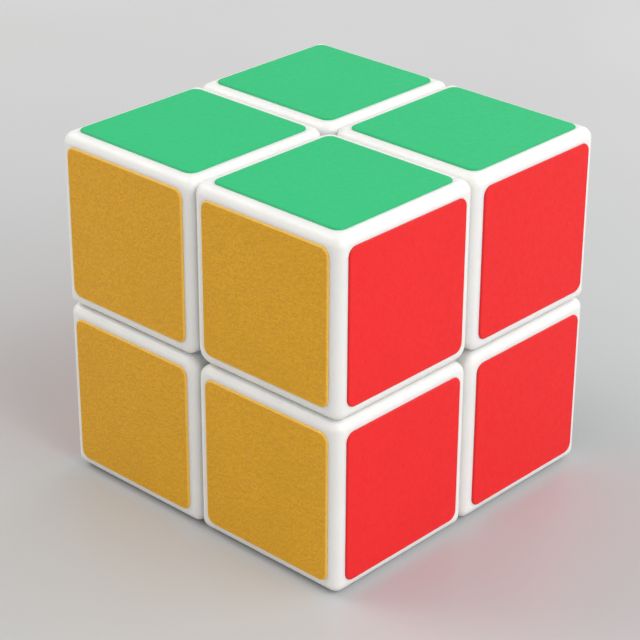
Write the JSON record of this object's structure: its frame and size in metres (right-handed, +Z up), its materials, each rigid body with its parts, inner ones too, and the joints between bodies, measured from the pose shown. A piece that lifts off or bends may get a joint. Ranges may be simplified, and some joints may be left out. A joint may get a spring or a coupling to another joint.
{
  "type": "twisty puzzle cube",
  "caption": "Pocket-size twisty puzzle cube in white plastic with coloured face stickers; its layers turn on a hidden ball mechanism with sprung screws.",
  "frame": {"origin": "centre of the cube, where the turning axes of the top, right and front layers cross", "axes": "+Z up through the top (green) face, +X through the right (red) face, -Y through the front (yellow) face"},
  "size_m": [0.0506, 0.0506, 0.0506],
  "materials": {
    "white_plastic": "satin moulded plastic",
    "inner_plastic": "satin moulded plastic, self-lubricating",
    "core_plastic": "dark self-lubricating plastic",
    "green_sticker": "satin vinyl film",
    "yellow_sticker": "embossed vinyl film, golden yellow",
    "red_sticker": "satin vinyl film",
    "blue_sticker": "satin vinyl film",
    "orange_sticker": "satin vinyl film",
    "black_sticker": "satin vinyl film",
    "steel": "zinc plated",
    "spring_steel": "drawn wire"
  },
  "bodies": {
    "core": {"core": "core_plastic", "corner_shell_bottom_back_left": "white_plastic", "corner_foot_bottom_back_left": "inner_plastic", "bottom_sticker_back_left": "blue_sticker", "back_sticker_bottom_left": "black_sticker", "left_sticker_bottom_back": "orange_sticker", "screw_top": "steel", "spring_top": "spring_steel", "screw_front": "steel", "spring_front": "spring_steel", "screw_right": "steel", "spring_right": "spring_steel"},
    "top_layer": {"centre_top": "core_plastic", "corner_shell_top_back_left": "white_plastic", "corner_foot_top_back_left": "inner_plastic", "top_sticker_back_left": "green_sticker", "back_sticker_top_left": "black_sticker", "left_sticker_top_back": "orange_sticker", "edge_top_left": "inner_plastic", "edge_top_back": "inner_plastic"},
    "right_layer": {"centre_right": "core_plastic", "corner_shell_bottom_back_right": "white_plastic", "corner_foot_bottom_back_right": "inner_plastic", "bottom_sticker_back_right": "blue_sticker", "back_sticker_bottom_right": "black_sticker", "right_sticker_bottom_back": "red_sticker", "edge_bottom_right": "inner_plastic", "edge_back_right": "inner_plastic"},
    "front_layer": {"centre_front": "core_plastic", "corner_shell_bottom_front_left": "white_plastic", "corner_foot_bottom_front_left": "inner_plastic", "bottom_sticker_front_left": "blue_sticker", "front_sticker_bottom_left": "yellow_sticker", "left_sticker_bottom_front": "orange_sticker", "edge_bottom_front": "inner_plastic", "edge_front_left": "inner_plastic"},
    "top_right_corner": {"corner_shell_top_back_right": "white_plastic", "corner_foot_top_back_right": "inner_plastic", "top_sticker_back_right": "green_sticker", "back_sticker_top_right": "black_sticker", "right_sticker_top_back": "red_sticker", "edge_top_right": "inner_plastic"},
    "top_front_corner": {"corner_shell_top_front_left": "white_plastic", "corner_foot_top_front_left": "inner_plastic", "top_sticker_front_left": "green_sticker", "front_sticker_top_left": "yellow_sticker", "left_sticker_top_front": "orange_sticker", "edge_top_front": "inner_plastic"},
    "right_front_corner": {"corner_shell_bottom_front_right": "white_plastic", "corner_foot_bottom_front_right": "inner_plastic", "bottom_sticker_front_right": "blue_sticker", "front_sticker_bottom_right": "yellow_sticker", "right_sticker_bottom_front": "red_sticker", "edge_front_right": "inner_plastic"},
    "top_right_front_corner": {"corner_shell_top_front_right": "white_plastic", "corner_foot_top_front_right": "inner_plastic", "top_sticker_front_right": "green_sticker", "front_sticker_top_right": "yellow_sticker", "right_sticker_top_front": "red_sticker"}
  },
  "joints": [
    {"name": "top_turn", "type": "hinge", "parent": "core", "child": "top_layer", "pos_m": [0, 0, 0], "axis": [0, 0, 1], "continuous": true},
    {"name": "right_turn", "type": "hinge", "parent": "core", "child": "right_layer", "pos_m": [0, 0, 0], "axis": [1, 0, 0], "range_deg": [-360, 360]},
    {"name": "front_turn", "type": "hinge", "parent": "core", "child": "front_layer", "pos_m": [0, 0, 0], "axis": [0, -1, 0], "range_deg": [-360, 360]},
    {"name": "right_turn_of_top_right_corner", "type": "hinge", "parent": "top_layer", "child": "top_right_corner", "pos_m": [0, 0, 0], "axis": [1, 0, 0], "range_deg": [-360, 360]},
    {"name": "front_turn_of_top_front_corner", "type": "hinge", "parent": "top_layer", "child": "top_front_corner", "pos_m": [0, 0, 0], "axis": [0, -1, 0], "range_deg": [-360, 360]},
    {"name": "front_turn_of_right_front_corner", "type": "hinge", "parent": "right_layer", "child": "right_front_corner", "pos_m": [0, 0, 0], "axis": [0, -1, 0], "range_deg": [-360, 360]},
    {"name": "front_turn_of_top_right_front_corner", "type": "hinge", "parent": "top_right_corner", "child": "top_right_front_corner", "pos_m": [0, 0, 0], "axis": [0, -1, 0], "range_deg": [-360, 360]}
  ],
  "couplings": [
    {"joint": "right_turn_of_top_right_corner", "follows": "right_turn", "ratio": 1},
    {"joint": "front_turn_of_top_front_corner", "follows": "front_turn", "ratio": 1},
    {"joint": "front_turn_of_right_front_corner", "follows": "front_turn", "ratio": 1},
    {"joint": "front_turn_of_top_right_front_corner", "follows": "front_turn", "ratio": 1}
  ]
}
